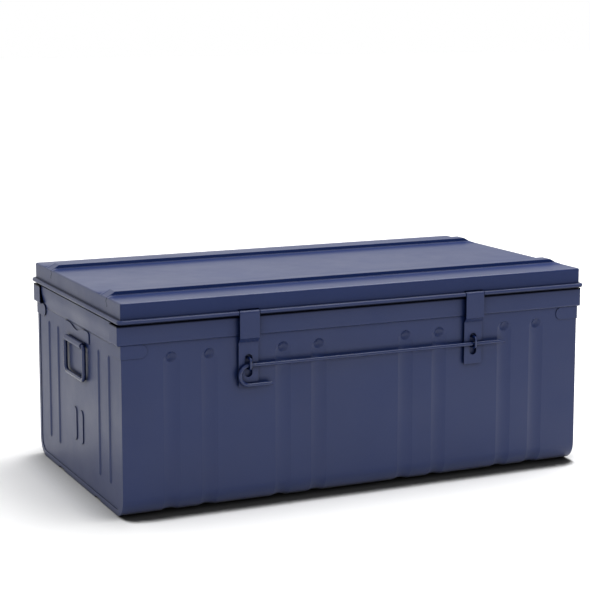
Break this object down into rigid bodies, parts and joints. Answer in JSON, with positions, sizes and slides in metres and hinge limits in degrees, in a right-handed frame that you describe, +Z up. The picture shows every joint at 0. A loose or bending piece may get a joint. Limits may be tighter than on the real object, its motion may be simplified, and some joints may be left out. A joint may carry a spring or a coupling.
{
  "type": "storage trunk",
  "caption": "Navy painted steel storage trunk with a hinged ridged lid, hasps over staples held by a long hooked rod, and a drop handle on each end.",
  "frame": {"origin": "on the floor, in the middle of the trunk's bottom", "axes": "+X along the length, to the right seen from the front; +Y from the front with the hasps to the back with the hinges; +Z up"},
  "size_m": [0.8026, 0.4499, 0.3303],
  "materials": {
    "painted_sheet": "satin navy-blue paint on pressed steel sheet",
    "painted_wire": "satin navy-blue paint on bent steel wire",
    "painted_rivets": "satin navy-blue paint on steel rivets"
  },
  "bodies": {
    "trunk": {"body_wrap": "painted_sheet", "end_panel_left": "painted_sheet", "end_panel_right": "painted_sheet", "collar_front": "painted_sheet", "collar_back": "painted_sheet", "collar_band_left": "painted_sheet", "collar_band_right": "painted_sheet", "corner_gusset_front_left": "painted_sheet", "corner_gusset_front_right": "painted_sheet", "corner_gusset_back_left": "painted_sheet", "corner_gusset_back_right": "painted_sheet", "handle_plate_left": "painted_sheet", "handle_plate_right": "painted_sheet", "staple_left": "painted_wire", "staple_right": "painted_wire", "staple_backing_left": "painted_sheet", "staple_backing_right": "painted_sheet", "hinge_strap_left": "painted_sheet", "hinge_strap_right": "painted_sheet", "hinge_rivets": "painted_rivets"},
    "lid": {"lid_shell": "painted_sheet", "lid_edge_wire": "painted_wire"},
    "hasp_left": {"hasp_left": "painted_sheet"},
    "hasp_right": {"hasp_right": "painted_sheet"},
    "rod": {"locking_rod": "painted_wire"},
    "bail_left": {"handle_bail_left": "painted_wire"},
    "bail_right": {"handle_bail_right": "painted_wire"}
  },
  "joints": [
    {"name": "lid_hinge", "type": "hinge", "parent": "trunk", "child": "lid", "pos_m": [0, 0.21855, 0.2955], "axis": [-1, 0, 0], "range_deg": [0, 110]},
    {"name": "hasp_left_hinge", "type": "hinge", "parent": "lid", "child": "hasp_left", "pos_m": [-0.194, -0.21855, 0.2955], "axis": [-1, 0, 0], "range_deg": [0, 155]},
    {"name": "hasp_right_hinge", "type": "hinge", "parent": "lid", "child": "hasp_right", "pos_m": [0.194, -0.21855, 0.2955], "axis": [-1, 0, 0], "range_deg": [0, 155]},
    {"name": "rod_slide", "type": "slide", "parent": "trunk", "child": "rod", "axis": [-1, 0, 0], "range_m": [0, 0.45]},
    {"name": "bail_left_hinge", "type": "hinge", "parent": "trunk", "child": "bail_left", "pos_m": [-0.39645, 0, 0.229], "axis": [0, 1, 0], "range_deg": [0, 165]},
    {"name": "bail_right_hinge", "type": "hinge", "parent": "trunk", "child": "bail_right", "pos_m": [0.39645, 0, 0.229], "axis": [0, -1, 0], "range_deg": [0, 165]}
  ]
}
